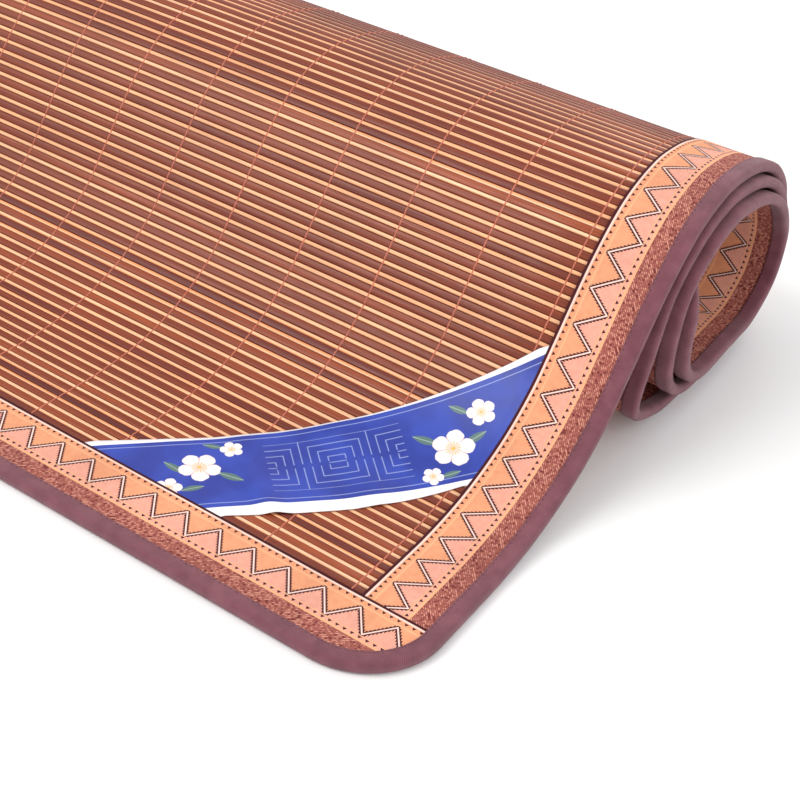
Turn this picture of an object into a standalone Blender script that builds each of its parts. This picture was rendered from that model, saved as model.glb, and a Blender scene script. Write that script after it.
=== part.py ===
"""Bamboo sleeping mat, partly rolled, with cloth borders, edge binding and a corner band.

Every piece is first cut flat, as a maker would, in three flat directions: x across the
mat along the slats, s along the mat's length from its front edge, n up from the middle of
its thickness. The flat pieces are then wrapped over one section line, which lies on the
floor, climbs over the roll and winds inwards. Metres, +Z up. The origin is the middle of
the footprint, on the floor.
"""
import math

import bmesh
import bpy

# Mat as cut flat
MAT_WIDTH = 0.900
MAT_LENGTH = 1.950
CORNER_RADIUS = 0.048
CORNER_FACETS = 9
GAP = 0.0003

# Slats: a broad raised strip and a narrow lower strip in each pitch
SLAT_PITCH = 0.0075
BROAD_SHARE = 0.62
PANEL_HALF_THICKNESS = 0.0011
NARROW_DROP = 0.0005
STEP_RUN = 0.0004
PANEL_INSET = 0.0080
TRIM_ANGLES = (math.radians(22.5), math.radians(45.0), math.radians(67.5))

# Cloth borders, folded over the slat ends
BORDER_WIDTH = 0.0500
CLOTH_THICKNESS = 0.0010

# Binding tape around the rim
TAPE_WIDTH = 0.0095
TAPE_THICKNESS = 0.0010
TAPE_ROUNDING = 0.0014

# Heights above the middle of the mat, worked out from the layers
BORDER_UNDER = PANEL_HALF_THICKNESS + GAP
BORDER_OVER = BORDER_UNDER + CLOTH_THICKNESS
TAPE_UNDER = BORDER_OVER + GAP
TAPE_OVER = TAPE_UNDER + TAPE_THICKNESS

# Outlines, measured in from the mat's rim
BORDER_INSET = TAPE_THICKNESS + GAP
CAVITY_INSET = BORDER_INSET + CLOTH_THICKNESS

# Satin band sewn across the front right corner: where its two edges meet each border,
# measured from the corner of the slats
BAND_ON_FRONT = (0.094, 0.192)
BAND_ON_SIDE = (0.106, 0.205)

# Rolled section: the middle of the roll, and the tail that leads to it (y, z)
ROLL_CENTRE_Y = 0.372
ROLL_CENTRE_Z = 0.072
FLOOR_LINE = TAPE_OVER
TAIL = (
    # along the floor, height
    (0.000, FLOOR_LINE),
    (0.070, FLOOR_LINE),
    (0.107, 0.0040),
    (0.147, 0.0100),
    (0.185, 0.0250),
    (0.214, 0.0470),
)

# Distance of each turn from the roll's middle, in millimetres, as the angle goes from the
# front over the top, down the back and along the floor
TURNS = (
    # angle, first, second, third, fourth turn
    (0, 139.0, 108.5, 91.5, 80.0),
    (20, 117.0, 106.0, 96.0, 86.0),
    (40, 104.0, 94.5, 85.0, 75.5),
    (60, 91.0, 81.7, 72.2, 62.8),
    (80, 80.5, 71.3, 62.0, 52.8),
    (100, 76.0, 67.0, 58.0, 49.0),
    (120, 77.0, 68.0, 59.0, 49.5),
    (140, 83.0, 73.7, 64.3, 54.5),
    (160, 94.0, 84.0, 74.0, 63.0),
    (180, 107.5, 97.3, 86.8, 73.0),
    (200, 113.0, 103.0, 91.0, 76.0),
    (220, 99.0, 87.7, 76.3, 0.0),
    (240, 79.0, 68.4, 58.0, 0.0),
    (260, 69.4, 60.0, 50.6, 0.0),
    (280, 69.4, 60.0, 50.6, 0.0),
    (300, 77.5, 67.3, 56.8, 0.0),
    (320, 94.5, 77.5, 65.5, 0.0),
    (340, 119.0, 87.0, 74.0, 0.0),
)

# The inner turns walk out at the right end of the roll
WALK = 0.0135
WALK_START = 0.700

# Facets along the section line
FACET_MIN = 0.006
FACET_MAX = 0.026
FACET_TURN = math.radians(12.0)
DENSE_STEPS = 24

# Closeness at which points count as one, and how far a cutter reaches past its blank
SAME_POINT = 1e-6
FLAT_JOIN = math.radians(0.006)
OVERCUT = 0.010
TOP_OVERCUT = 0.001

PART_COLLECTION = "bamboo_mat"
CUTTER_COLLECTION = "bamboo_mat_cutters"

HALF_WIDTH = MAT_WIDTH / 2


def clear_scene():
    for obj in list(bpy.data.objects):
        bpy.data.objects.remove(obj, do_unlink=True)


def make_collection(name):
    collection = bpy.data.collections.new(name)
    bpy.context.scene.collection.children.link(collection)
    return collection


def section_points():
    """Points that the section line passes through, from the front edge inwards."""
    points = list(TAIL)
    for turn in range(1, 5):
        for row in TURNS:
            radius = row[turn] / 1000.0
            if radius == 0.0:
                continue
            angle = math.radians(row[0])
            y = ROLL_CENTRE_Y - radius * math.cos(angle)
            z = ROLL_CENTRE_Z + radius * math.sin(angle)
            points.append((y, z))
    return points


def smooth_line(points):
    """A dense smooth line through the points, never under the floor line."""
    first = (2 * points[0][0] - points[1][0], 2 * points[0][1] - points[1][1])
    last = (2 * points[-1][0] - points[-2][0], 2 * points[-1][1] - points[-2][1])
    padded = [first] + points + [last]
    line = []
    for index in range(1, len(padded) - 2):
        before, start, end, after = padded[index - 1:index + 3]
        for step in range(DENSE_STEPS):
            t = step / DENSE_STEPS
            value = [spline(before[k], start[k], end[k], after[k], t) for k in (0, 1)]
            line.append((value[0], max(value[1], FLOOR_LINE)))
    line.append(points[-1])
    return line


def spline(before, start, end, after, t):
    """Catmull-Rom blend of four values."""
    slope_in = (end - before) / 2
    slope_out = (after - start) / 2
    rise = end - start
    return start + t * slope_in + t * t * (3 * rise - 2 * slope_in - slope_out) \
        + t * t * t * (slope_in + slope_out - 2 * rise)


def lengths_along(line):
    lengths = [0.0]
    for start, end in zip(line, line[1:]):
        lengths.append(lengths[-1] + math.dist(start, end))
    return lengths


def point_at(line, lengths, distance):
    for index in range(1, len(line)):
        if lengths[index] >= distance:
            break
    start = line[index - 1]
    end = line[index]
    t = (distance - lengths[index - 1]) / (lengths[index] - lengths[index - 1])
    return (start[0] + t * (end[0] - start[0]), start[1] + t * (end[1] - start[1]))


def heading(start, end):
    return math.atan2(end[1] - start[1], end[0] - start[0])


def choose_stations(line, lengths):
    """Distances along the mat where its facets meet: close in bends, wide where straight."""
    stations = [0.0]
    last_heading = heading(line[0], line[1])
    for index in range(1, len(line) - 1):
        distance = lengths[index]
        if distance > MAT_LENGTH - FACET_MIN:
            break
        run = distance - stations[-1]
        direction = heading(line[index], line[index + 1])
        turned = abs(math.remainder(direction - last_heading, 2 * math.pi))
        if run >= FACET_MAX or (run >= FACET_MIN and turned >= FACET_TURN):
            stations.append(distance)
            last_heading = direction
    stations.append(MAT_LENGTH)
    return stations


class Wrap:
    """Carries flat points onto the rolled section."""

    def __init__(self):
        line = smooth_line(section_points())
        lengths = lengths_along(line)
        self.stations = choose_stations(line, lengths)
        self.places = [point_at(line, lengths, s) for s in self.stations]
        self.normals = self.mitre_normals()
        reach = [place[0] + TAPE_OVER * abs(normal[0])
                 for place, normal in zip(self.places, self.normals)]
        self.middle_y = max(reach) / 2
        self.middle_x = self.walk(MAT_LENGTH - CORNER_RADIUS) / 2

    def mitre_normals(self):
        """Normals at the stations, long enough to keep layers parallel round each bend."""
        sides = []
        for start, end in zip(self.places, self.places[1:]):
            angle = heading(start, end)
            sides.append((-math.sin(angle), math.cos(angle)))
        normals = [sides[0]]
        for before, after in zip(sides, sides[1:]):
            scale = 1 + before[0] * after[0] + before[1] * after[1]
            normals.append(((before[0] + after[0]) / scale, (before[1] + after[1]) / scale))
        normals.append(sides[-1])
        return normals

    def facet(self, s):
        for index in range(len(self.stations) - 2):
            if s < self.stations[index + 1]:
                return index
        return len(self.stations) - 2

    def walk(self, s):
        """How far the mat has moved along the roll at a length."""
        return WALK * max(0.0, s - WALK_START) / (MAT_LENGTH - WALK_START)

    def place(self, x, s, n):
        index = self.facet(s)
        start = self.stations[index]
        t = (s - start) / (self.stations[index + 1] - start)
        across = []
        for k in (0, 1):
            middle = self.places[index][k] * (1 - t) + self.places[index + 1][k] * t
            normal = self.normals[index][k] * (1 - t) + self.normals[index + 1][k] * t
            across.append(middle + n * normal)
        return (x + self.walk(s) - self.middle_x, across[0] - self.middle_y, across[1])


def wrap_mesh(bm, wrap):
    """Creases a flat piece at every station and lays it over the section."""
    for s in wrap.stations[1:-1]:
        geometry = list(bm.verts) + list(bm.edges) + list(bm.faces)
        bmesh.ops.bisect_plane(bm, geom=geometry, dist=SAME_POINT, plane_co=(0, s, 0), plane_no=(0, 1, 0))
    for vert in bm.verts:
        vert.co = wrap.place(*vert.co)


def make_object(name, bm, collection, colour, roughness):
    bmesh.ops.recalc_face_normals(bm, faces=bm.faces)
    mesh = bpy.data.meshes.new(name)
    bm.to_mesh(mesh)
    bm.free()
    obj = bpy.data.objects.new(name, mesh)
    collection.objects.link(obj)
    material = bpy.data.materials.new(name)
    material.use_nodes = True
    shader = material.node_tree.nodes["Principled BSDF"]
    shader.inputs["Base Color"].default_value = (*colour, 1.0)
    shader.inputs["Roughness"].default_value = roughness
    shader.inputs["Metallic"].default_value = 0.0
    mesh.materials.append(material)
    return obj


def extrude_outline(outline, along):
    """A closed solid from a flat outline, drawn out by a vector."""
    bm = bmesh.new()
    face = bm.faces.new([bm.verts.new(point) for point in outline])
    result = bmesh.ops.extrude_face_region(bm, geom=[face], use_keep_orig=True)
    moved = [item for item in result["geom"] if isinstance(item, bmesh.types.BMVert)]
    bmesh.ops.translate(bm, vec=along, verts=moved)
    bmesh.ops.recalc_face_normals(bm, faces=bm.faces)
    return bm


def rounded_outline(inset, s_end, n):
    """The front end of the mat's outline, at an inset from the rim, up to a given length."""
    half = HALF_WIDTH - inset
    radius = CORNER_RADIUS - inset
    outline = [(half, s_end, n)]
    for side in (1, -1):
        corner = []
        for step in range(CORNER_FACETS + 1):
            angle = math.pi / 2 * step / CORNER_FACETS
            x = side * (HALF_WIDTH - CORNER_RADIUS + radius * math.cos(angle))
            corner.append((x, CORNER_RADIUS - radius * math.sin(angle), n))
        outline += corner if side == 1 else corner[::-1]
    outline.append((-half, s_end, n))
    return outline


def rounded_slab(inset, s_end, half_thickness):
    outline = rounded_outline(inset, s_end, -half_thickness)
    return extrude_outline(outline, (0, 0, 2 * half_thickness))


def temporary_object(name, bm, collection):
    mesh = bpy.data.meshes.new(name)
    bm.to_mesh(mesh)
    bm.free()
    obj = bpy.data.objects.new(name, mesh)
    obj.hide_render = True
    obj.display_type = "WIRE"
    collection.objects.link(obj)
    return obj


def subtract(blank, cutters, collection):
    """The blank less its cutters, as a new flat mesh."""
    target = temporary_object("blank", blank, collection)
    cutter_objects = []
    for cutter in cutters:
        cutter_object = temporary_object("cutter", cutter, collection)
        modifier = target.modifiers.new("cut", "BOOLEAN")
        modifier.operation = "DIFFERENCE"
        modifier.solver = "EXACT"
        modifier.object = cutter_object
        cutter_objects.append(cutter_object)
    depsgraph = bpy.context.evaluated_depsgraph_get()
    mesh = bpy.data.meshes.new_from_object(target.evaluated_get(depsgraph))
    result = bmesh.new()
    result.from_mesh(mesh)
    bpy.data.meshes.remove(mesh)
    for obj in [target] + cutter_objects:
        bpy.data.objects.remove(obj, do_unlink=True)
    bmesh.ops.remove_doubles(result, verts=result.verts, dist=SAME_POINT)
    bmesh.ops.dissolve_limit(
        result, angle_limit=FLAT_JOIN, verts=result.verts, edges=result.edges)
    return result


def turn_to_back(bm):
    """Swaps a front end piece to the mat's other end."""
    for vert in bm.verts:
        vert.co.y = MAT_LENGTH - vert.co.y
    bmesh.ops.reverse_faces(bm, faces=bm.faces)


def rib_profile(start, end):
    """Top of the slats between two lengths: broad strips stand over narrow ones."""
    count = int((end - start) / SLAT_PITCH)
    first = start + (end - start - count * SLAT_PITCH) / 2
    low = PANEL_HALF_THICKNESS - NARROW_DROP
    broad = SLAT_PITCH * BROAD_SHARE
    profile = []
    for index in range(count):
        s = first + index * SLAT_PITCH
        profile += [
            (s, low),
            (s + STEP_RUN, PANEL_HALF_THICKNESS),
            (s + broad - STEP_RUN, PANEL_HALF_THICKNESS),
            (s + broad, low),
        ]
    return profile


def trim_corners(bm):
    """Cuts the panel's four corners round, to fit inside the rounded borders."""
    radius = CORNER_RADIUS - PANEL_INSET
    side = HALF_WIDTH - CORNER_RADIUS
    for centre_s, end in ((CORNER_RADIUS, -1), (MAT_LENGTH - CORNER_RADIUS, 1)):
        for across in (-1, 1):
            for angle in TRIM_ANGLES:
                normal = (across * math.cos(angle), end * math.sin(angle), 0)
                point = (across * side + normal[0] * radius, centre_s + normal[1] * radius, 0)
                geometry = list(bm.verts) + list(bm.edges) + list(bm.faces)
                cut = bmesh.ops.bisect_plane(
                    bm, geom=geometry, dist=SAME_POINT, plane_co=point, plane_no=normal,
                    clear_outer=True)
                edges = [item for item in cut["geom_cut"] if isinstance(item, bmesh.types.BMEdge)]
                bmesh.ops.contextual_create(bm, geom=edges)


def slat_panel(wrap, collection):
    """Bamboo slats side by side, their ends and edges hidden in the borders."""
    half = HALF_WIDTH - PANEL_INSET
    start = PANEL_INSET
    end = MAT_LENGTH - PANEL_INSET
    top = [(start, PANEL_HALF_THICKNESS)]
    top += rib_profile(BORDER_WIDTH, MAT_LENGTH - BORDER_WIDTH)
    top += [(end, PANEL_HALF_THICKNESS)]
    outline = [(-half, s, n) for s, n in top]
    outline += [(-half, end, -PANEL_HALF_THICKNESS), (-half, start, -PANEL_HALF_THICKNESS)]
    bm = extrude_outline(outline, (2 * half, 0, 0))
    trim_corners(bm)
    wrap_mesh(bm, wrap)
    make_object("slat_panel", bm, collection, (0.22, 0.045, 0.018), 0.38)


def border_end(wrap, collection, cutters, name, at_back):
    """Border across one end of the mat: a pocket closed on three sides."""
    blank = rounded_slab(BORDER_INSET, BORDER_WIDTH, BORDER_OVER)
    cavity = rounded_slab(CAVITY_INSET, BORDER_WIDTH + OVERCUT, BORDER_UNDER)
    bm = subtract(blank, [cavity], cutters)
    if at_back:
        turn_to_back(bm)
    wrap_mesh(bm, wrap)
    make_object(name, bm, collection, (0.40, 0.12, 0.09), 0.82)


def border_side(wrap, collection, name, side):
    """Border along one side: a sleeve folded over the slat ends, open inwards."""
    rim = side * (HALF_WIDTH - BORDER_INSET)
    fold = side * (HALF_WIDTH - CAVITY_INSET)
    lip = side * (HALF_WIDTH - BORDER_WIDTH)
    start = BORDER_WIDTH + GAP
    outline = [
        (lip, start, BORDER_OVER), (rim, start, BORDER_OVER),
        (rim, start, -BORDER_OVER), (lip, start, -BORDER_OVER),
        (lip, start, -BORDER_UNDER), (fold, start, -BORDER_UNDER),
        (fold, start, BORDER_UNDER), (lip, start, BORDER_UNDER),
    ]
    bm = extrude_outline(outline, (0, MAT_LENGTH - 2 * start, 0))
    wrap_mesh(bm, wrap)
    make_object(name, bm, collection, (0.40, 0.12, 0.09), 0.82)


def binding_end(wrap, collection, cutters, name, at_back):
    """Tape folded over one end and round its two corners."""
    blank = rounded_slab(0.0, BORDER_WIDTH, TAPE_OVER)
    rim_edges = []
    for edge in blank.edges:
        ends = [vert.co for vert in edge.verts]
        level = abs(ends[0].z - ends[1].z) < SAME_POINT
        across = min(ends[0].y, ends[1].y) > BORDER_WIDTH - SAME_POINT
        if level and not across:
            rim_edges.append(edge)
    bmesh.ops.bevel(blank, geom=rim_edges, offset=TAPE_ROUNDING, segments=1, affect="EDGES")
    cavity = rounded_slab(TAPE_THICKNESS, BORDER_WIDTH + OVERCUT, TAPE_UNDER)
    window = rounded_slab(TAPE_WIDTH, BORDER_WIDTH + 2 * OVERCUT, TAPE_OVER + TOP_OVERCUT)
    bm = subtract(blank, [cavity, window], cutters)
    if at_back:
        turn_to_back(bm)
    wrap_mesh(bm, wrap)
    make_object(name, bm, collection, (0.19, 0.055, 0.075), 0.7)


def binding_side(wrap, collection, name, side):
    """Tape folded over one long edge."""
    rim = side * HALF_WIDTH
    shoulder = side * (HALF_WIDTH - TAPE_ROUNDING)
    fold = side * (HALF_WIDTH - TAPE_THICKNESS)
    lip = side * (HALF_WIDTH - TAPE_WIDTH)
    start = BORDER_WIDTH + GAP
    nose = TAPE_OVER - TAPE_ROUNDING
    outline = [
        (lip, start, TAPE_OVER), (shoulder, start, TAPE_OVER),
        (rim, start, nose), (rim, start, -nose),
        (shoulder, start, -TAPE_OVER), (lip, start, -TAPE_OVER),
        (lip, start, -TAPE_UNDER), (fold, start, -TAPE_UNDER),
        (fold, start, TAPE_UNDER), (lip, start, TAPE_UNDER),
    ]
    bm = extrude_outline(outline, (0, MAT_LENGTH - 2 * start, 0))
    wrap_mesh(bm, wrap)
    make_object(name, bm, collection, (0.19, 0.055, 0.075), 0.7)


def corner_band(wrap, collection):
    """Satin band laid slantwise over the slats between the front and right borders."""
    side = HALF_WIDTH - BORDER_WIDTH - GAP
    front = BORDER_WIDTH + GAP
    outline = [
        (side - BAND_ON_FRONT[1], front, BORDER_UNDER),
        (side - BAND_ON_FRONT[0], front, BORDER_UNDER),
        (side, front + BAND_ON_SIDE[0], BORDER_UNDER),
        (side, front + BAND_ON_SIDE[1], BORDER_UNDER),
    ]
    bm = extrude_outline(outline, (0, 0, CLOTH_THICKNESS))
    wrap_mesh(bm, wrap)
    make_object("corner_band", bm, collection, (0.02, 0.05, 0.45), 0.35)


def main():
    clear_scene()
    collection = make_collection(PART_COLLECTION)
    cutters = make_collection(CUTTER_COLLECTION)
    wrap = Wrap()
    slat_panel(wrap, collection)
    border_end(wrap, collection, cutters, "border_front", False)
    border_end(wrap, collection, cutters, "border_back", True)
    border_side(wrap, collection, "border_right", 1)
    border_side(wrap, collection, "border_left", -1)
    binding_end(wrap, collection, cutters, "binding_front", False)
    binding_end(wrap, collection, cutters, "binding_back", True)
    binding_side(wrap, collection, "binding_right", 1)
    binding_side(wrap, collection, "binding_left", -1)
    corner_band(wrap, collection)


main()
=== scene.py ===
"""A bamboo sleeping mat, half rolled up: bamboo slats laced with thread, woven borders,
a taped rim and a satin band across one corner, each piece laid along the rolled section."""

import math
import random

import bmesh
import bpy
from mathutils import Matrix, Vector, noise


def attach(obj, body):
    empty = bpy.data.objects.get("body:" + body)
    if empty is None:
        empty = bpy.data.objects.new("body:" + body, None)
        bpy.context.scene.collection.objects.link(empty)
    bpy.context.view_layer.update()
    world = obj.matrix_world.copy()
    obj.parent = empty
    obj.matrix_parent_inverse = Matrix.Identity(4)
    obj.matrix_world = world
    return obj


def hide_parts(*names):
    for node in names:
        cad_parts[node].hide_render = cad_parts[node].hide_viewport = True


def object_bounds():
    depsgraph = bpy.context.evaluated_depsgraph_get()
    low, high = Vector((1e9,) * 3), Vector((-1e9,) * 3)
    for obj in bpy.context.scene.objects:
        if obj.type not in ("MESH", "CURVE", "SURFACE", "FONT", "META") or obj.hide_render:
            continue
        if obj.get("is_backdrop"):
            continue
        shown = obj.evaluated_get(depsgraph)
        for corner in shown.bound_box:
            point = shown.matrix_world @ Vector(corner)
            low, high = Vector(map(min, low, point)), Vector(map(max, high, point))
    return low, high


bl_info = {
    "name": "Rolled Bamboo Mat",
    "version": (1, 0, 0),
    "blender": (4, 5, 0),
    "location": "3D View > Sidebar > Bamboo Mat",
    "description": "Builds a laced bamboo mat with woven borders, half rolled up",
    "category": "Add Mesh",
}

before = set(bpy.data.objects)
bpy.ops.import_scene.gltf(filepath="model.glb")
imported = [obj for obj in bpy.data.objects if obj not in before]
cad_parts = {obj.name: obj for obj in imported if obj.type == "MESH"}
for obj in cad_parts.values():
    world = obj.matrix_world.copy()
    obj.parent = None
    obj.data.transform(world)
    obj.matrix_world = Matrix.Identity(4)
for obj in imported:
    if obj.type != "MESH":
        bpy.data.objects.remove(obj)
FRAME_LOW, FRAME_HIGH = (tuple(corner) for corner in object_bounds())

# The mat laid flat, in metres: x along the slats, s along the mat from its front edge,
# n above the middle of its thickness
MAT_WIDTH = 0.900
MAT_LENGTH = 1.950
HALF_WIDTH = MAT_WIDTH / 2
CORNER_RADIUS = 0.048
PANEL_INSET = 0.0080

# Rolled section: the tail on the floor, as distance back and height
ROLL_CENTRE_Y = 0.372
ROLL_CENTRE_Z = 0.072
FLOOR_LINE = 0.0037
TAIL = (
    (0.000, FLOOR_LINE),
    (0.070, FLOOR_LINE),
    (0.107, 0.0040),
    (0.147, 0.0100),
    (0.185, 0.0250),
    (0.214, 0.0470),
)

# Distance of each turn from the roll's middle, in millimetres, as the angle goes from the
# front over the top, down the back and along the floor
TURNS = (
    # angle, first, second, third, fourth turn
    (0, 139.0, 108.5, 91.5, 80.0),
    (20, 117.0, 106.0, 96.0, 86.0),
    (40, 104.0, 94.5, 85.0, 75.5),
    (60, 91.0, 81.7, 72.2, 62.8),
    (80, 80.5, 71.3, 62.0, 52.8),
    (100, 76.0, 67.0, 58.0, 49.0),
    (120, 77.0, 68.0, 59.0, 49.5),
    (140, 83.0, 73.7, 64.3, 54.5),
    (160, 94.0, 84.0, 74.0, 63.0),
    (180, 107.5, 97.3, 86.8, 73.0),
    (200, 113.0, 103.0, 91.0, 76.0),
    (220, 99.0, 87.7, 76.3, 0.0),
    (240, 79.0, 68.4, 58.0, 0.0),
    (260, 69.4, 60.0, 50.6, 0.0),
    (280, 69.4, 60.0, 50.6, 0.0),
    (300, 77.5, 67.3, 56.8, 0.0),
    (320, 94.5, 77.5, 65.5, 0.0),
    (340, 119.0, 87.0, 74.0, 0.0),
)

# The inner turns walk out at the right end of the roll
WALK = 0.0135
WALK_START = 0.700

CURVE_STEPS = 24
STATION_STEP = 0.003

# Slats and the threads that lace them
SLAT_START = 0.0437
SLAT_END = 1.9063
SLAT_CUTS = 11
BROAD_HEIGHT = 0.0022
NARROW_HEIGHT = 0.0013
THREAD_EDGE = 0.393
THREAD_COUNT = 15

# Heights of the cloth layers above the mat's middle, each the middle of its thickness
BORDER_LEVEL = 0.00195
BORDER_CLOTH = 0.0007
TAPE_CLOTH = 0.0009
BORDER_INSET = 0.0019
LIP_RUN = 0.006
LIP_DROP = 0.00030
RIM_RUN = 0.0035
RIM_DROP = 0.0008

# Tape and its stitches
TAPE_STEP = 0.0027
TAPE_LIP = 0.007
TAPE_LIMIT = 0.00325
STITCH_SIZE = (0.0022, 0.00075, 0.0005)
STITCH_INWARD = 0.0088
STITCH_HEIGHT = 0.00336
STITCH_SHIFT = 0.00012
STITCH_TURN = 0.06

# Lacing thread
THREAD_RISE = 0.00003
THREAD_THICK = 0.00042
THREAD_THIN = 0.00034
BACK_LACING_FROM = 0.78

# Satin band: where its two edges meet each border, from the corner of the slats
BAND_ON_FRONT = (0.094, 0.192)
BAND_ON_SIDE = (0.106, 0.205)
BAND_TUCK = 0.0025
BAND_CLOTH = 0.00035
BAND_REST = 0.00134
BAND_CLEAR = 0.00025
BAND_SETTLE = 0.008


class RolledSection:
    """Carries points of the flat mat onto the rolled one."""

    def __init__(self):
        line = self.curve_through(self.section_points())
        lengths = [0.0]
        for start, end in zip(line, line[1:]):
            lengths.append(lengths[-1] + math.dist(start, end))
        self.count = int(MAT_LENGTH / STATION_STEP)
        self.places = []
        index = 1
        for station in range(self.count + 1):
            distance = station * STATION_STEP
            while lengths[index] < distance:
                index += 1
            t = (distance - lengths[index - 1]) / (lengths[index] - lengths[index - 1])
            start = line[index - 1]
            end = line[index]
            self.places.append(tuple(start[k] + t * (end[k] - start[k]) for k in (0, 1)))
        self.normals = self.smooth_normals()
        self.middle_y = -FRAME_LOW[1]
        self.middle_x = self.walk(MAT_LENGTH - CORNER_RADIUS) / 2

    def section_points(self):
        points = list(TAIL)
        for turn in range(1, 5):
            for row in TURNS:
                radius = row[turn] / 1000.0
                if radius == 0.0:
                    continue
                angle = math.radians(row[0])
                y = ROLL_CENTRE_Y - radius * math.cos(angle)
                z = ROLL_CENTRE_Z + radius * math.sin(angle)
                points.append((y, z))
        return points

    def curve_through(self, points):
        first = tuple(2 * points[0][k] - points[1][k] for k in (0, 1))
        last = tuple(2 * points[-1][k] - points[-2][k] for k in (0, 1))
        padded = [first] + points + [last]
        line = []
        for index in range(1, len(padded) - 2):
            before, start, end, after = padded[index - 1:index + 3]
            for step in range(CURVE_STEPS):
                t = step / CURVE_STEPS
                y, z = (self.blend(before[k], start[k], end[k], after[k], t) for k in (0, 1))
                line.append((y, max(z, FLOOR_LINE)))
        line.append(points[-1])
        return line

    @staticmethod
    def blend(before, start, end, after, t):
        slope_in = (end - before) / 2
        slope_out = (after - start) / 2
        rise = end - start
        square = 3 * rise - 2 * slope_in - slope_out
        cube = slope_in + slope_out - 2 * rise
        return start + t * slope_in + t * t * square + t * t * t * cube

    def smooth_normals(self):
        normals = []
        for station in range(self.count + 1):
            start = self.places[max(0, station - 1)]
            end = self.places[min(self.count, station + 1)]
            angle = math.atan2(end[1] - start[1], end[0] - start[0])
            normals.append((-math.sin(angle), math.cos(angle)))
        return normals

    @staticmethod
    def walk(s):
        """How far the mat has moved along the roll at a length."""
        return WALK * max(0.0, s - WALK_START) / (MAT_LENGTH - WALK_START)

    def lay(self, x, s, n):
        index = min(max(int(s / STATION_STEP), 0), self.count - 1)
        t = s / STATION_STEP - index
        place = []
        for k in (0, 1):
            middle = self.places[index][k] * (1 - t) + self.places[index + 1][k] * t
            normal = self.normals[index][k] * (1 - t) + self.normals[index + 1][k] * t
            place.append(middle + n * normal)
        return (x + self.walk(s) - self.middle_x, place[0] - self.middle_y, place[1])

    def lay_mesh(self, obj):
        for vertex in obj.data.vertices:
            vertex.co = self.lay(*vertex.co)
        obj.data.update()


section = RolledSection()


def sizes():
    return bpy.context.scene.bamboo_mat_sizes


def colours():
    return bpy.context.scene.bamboo_mat_colours


def ripple(x, y, z=0.0, scale=1.0):
    """Smooth unevenness from -1 to 1 that is the same in every run."""
    return noise.noise(Vector((x * scale, y * scale, z * scale)))


def clear_selection():
    if bpy.context.object and bpy.context.object.mode != "OBJECT":
        bpy.ops.object.mode_set(mode="OBJECT")
    bpy.ops.object.select_all(action="DESELECT")


def make_active(obj):
    clear_selection()
    obj.select_set(True)
    bpy.context.view_layer.objects.active = obj


def apply_modifier(obj, kind, **settings):
    make_active(obj)
    modifier = obj.modifiers.new(kind.title(), kind)
    for name, value in settings.items():
        setattr(modifier, name, value)
    bpy.ops.object.modifier_apply(modifier=modifier.name)


def link_mesh(name, bm):
    """A new object from finished mesh code."""
    mesh = bpy.data.meshes.new(name)
    bm.to_mesh(mesh)
    bm.free()
    obj = bpy.data.objects.new(name, mesh)
    bpy.context.scene.collection.objects.link(obj)
    return obj


def finish_piece(obj, material, node_names=()):
    """Smooth faces, material and body, and hides the CAD nodes it stands for."""
    make_active(obj)
    bpy.ops.object.shade_smooth()
    obj.data.materials.clear()
    obj.data.materials.append(material)
    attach(obj, "root")
    if node_names:
        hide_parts(*node_names)
    clear_selection()


def cloth_from_rows(name, rows, flat_places, closed=False):
    """A flat-cut sheet of cloth from rows of (x, s, n) points, with a map in metres."""
    bm = bmesh.new()
    layer = bm.loops.layers.uv.new("Flat")
    verts = [[bm.verts.new(point) for point in row] for row in rows]
    count = len(rows)
    for j in range(count if closed else count - 1):
        below = verts[j]
        above = verts[(j + 1) % count]
        for i in range(len(below) - 1):
            face = bm.faces.new((below[i], below[i + 1], above[i + 1], above[i]))
            corners = ((j, i), (j, i + 1), (j + 1, i + 1), (j + 1, i))
            for loop, (row, column) in zip(face.loops, corners):
                loop[layer].uv = flat_places[row][column]
    return link_mesh(name, bm)


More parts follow.
